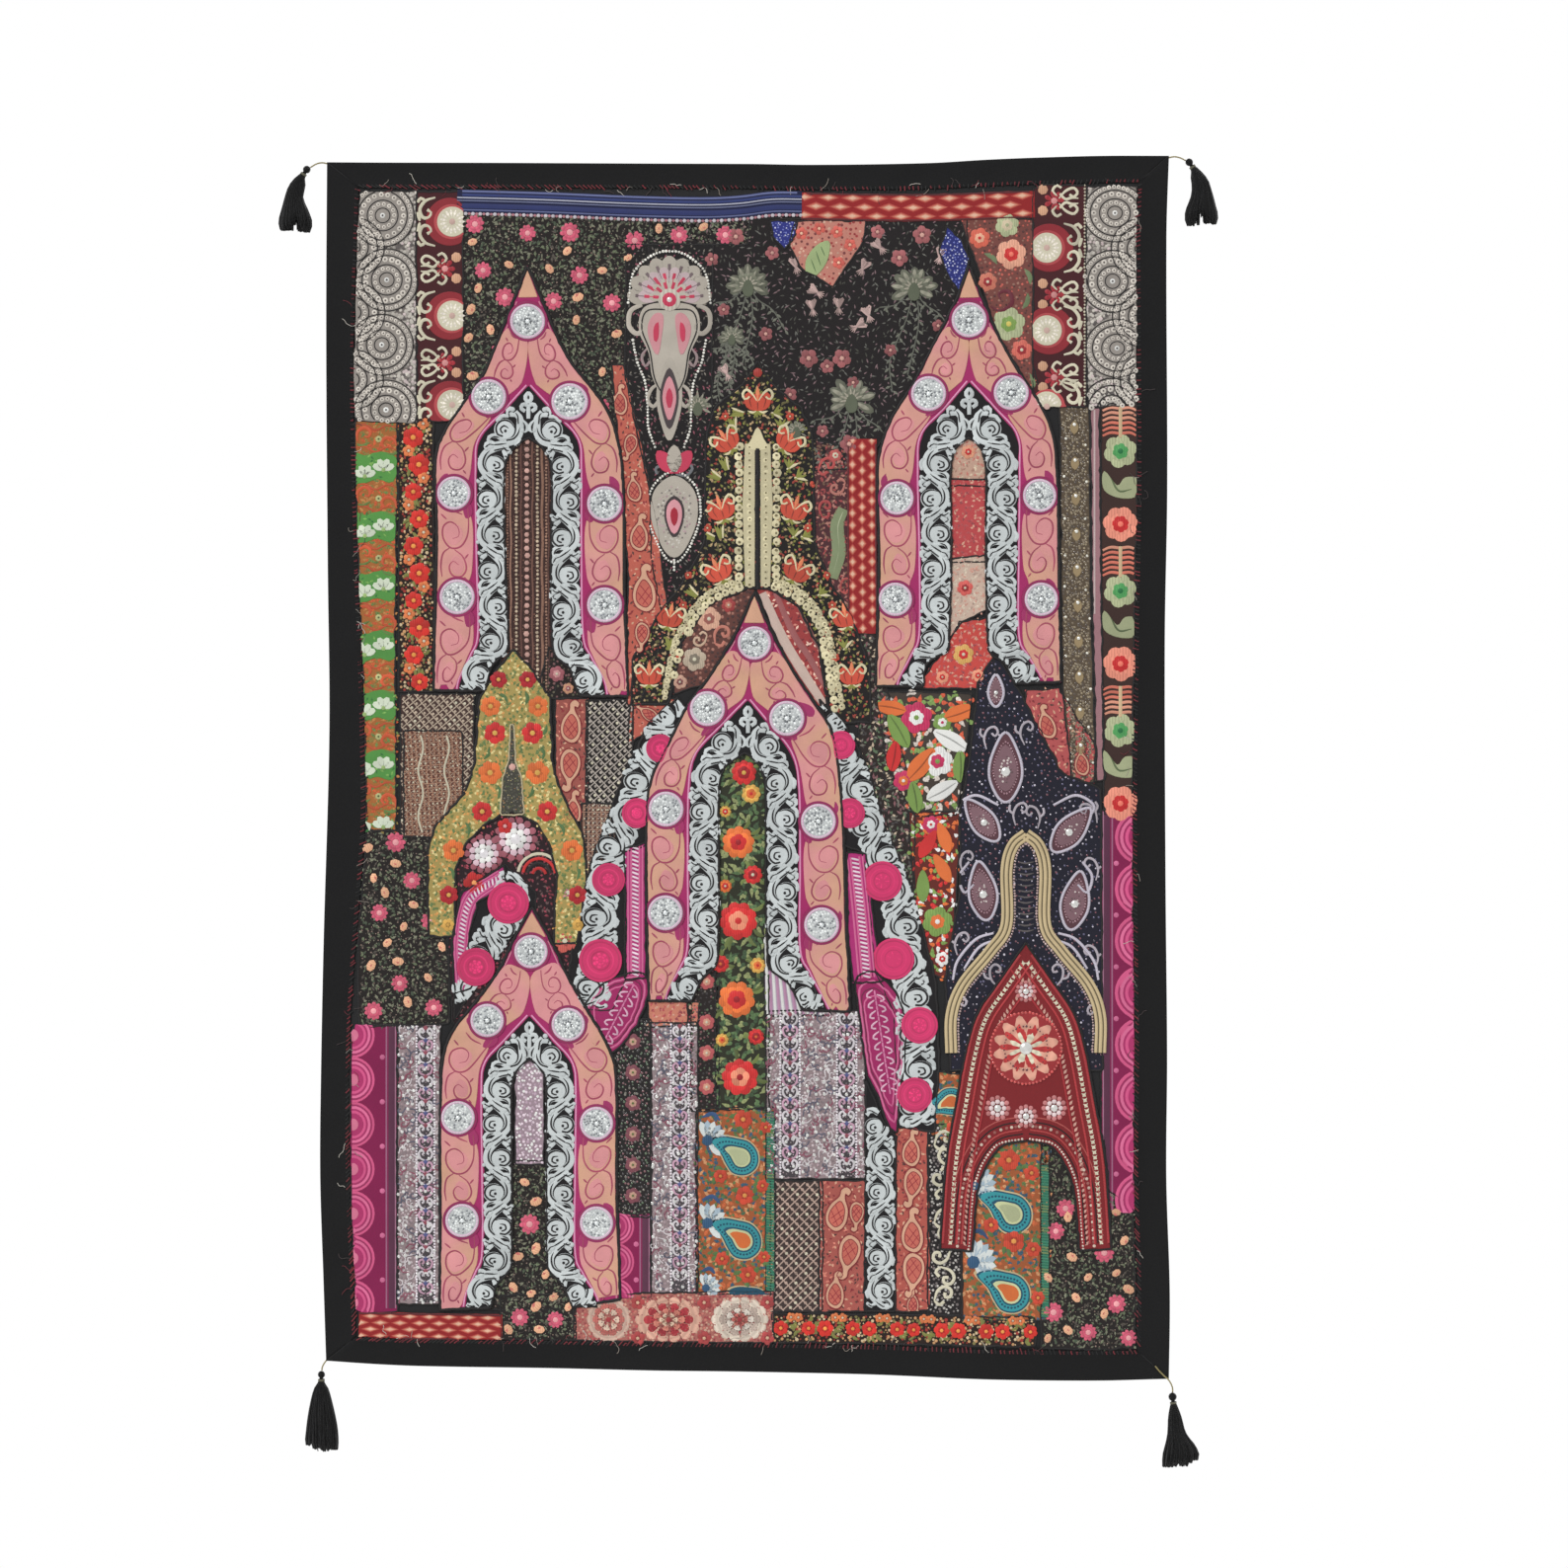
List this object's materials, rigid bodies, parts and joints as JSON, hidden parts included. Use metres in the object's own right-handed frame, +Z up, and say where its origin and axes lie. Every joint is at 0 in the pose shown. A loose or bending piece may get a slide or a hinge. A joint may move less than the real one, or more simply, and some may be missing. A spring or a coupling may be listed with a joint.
{
  "type": "embroidered wall hanging",
  "caption": "Patchwork wall hanging of embroidered neckline yokes and strips in a black cotton border, with a tassel hanging from each corner",
  "frame": {"origin": "middle of the cloth's top edge, where the wall holds it", "axes": "+Z up along the cloth's height, +X to the right of the worked face, -Y is the way the worked face looks"},
  "size_m": [1.161, 0.0317, 1.6202],
  "materials": {
    "patchwork": "quilted patchwork with raised thread embroidery, beads and small mirrors",
    "border_cotton": "matt black plain-weave cotton",
    "tassel_cord": "thin twisted cord, olive gold",
    "tassel_yarn": "black rayon strands, slight sheen",
    "tassel_wrap": "grey thread wound tight"
  },
  "bodies": {
    "root": {"patchwork_field": "patchwork", "border_top": "border_cotton", "border_bottom": "border_cotton", "border_left": "border_cotton", "border_right": "border_cotton", "tassel_cord_top_left": "tassel_cord", "tassel_cord_top_right": "tassel_cord", "tassel_cord_bottom_left": "tassel_cord", "tassel_cord_bottom_right": "tassel_cord", "tassel_head_top_left": "tassel_yarn", "tassel_head_top_right": "tassel_yarn", "tassel_head_bottom_left": "tassel_yarn", "tassel_head_bottom_right": "tassel_yarn", "tassel_wrap_top_left": "tassel_wrap", "tassel_wrap_top_right": "tassel_wrap", "tassel_wrap_bottom_left": "tassel_wrap", "tassel_wrap_bottom_right": "tassel_wrap", "tassel_skirt_top_left": "tassel_yarn", "tassel_skirt_top_right": "tassel_yarn", "tassel_skirt_bottom_left": "tassel_yarn", "tassel_skirt_bottom_right": "tassel_yarn"}
  },
  "joints": []
}
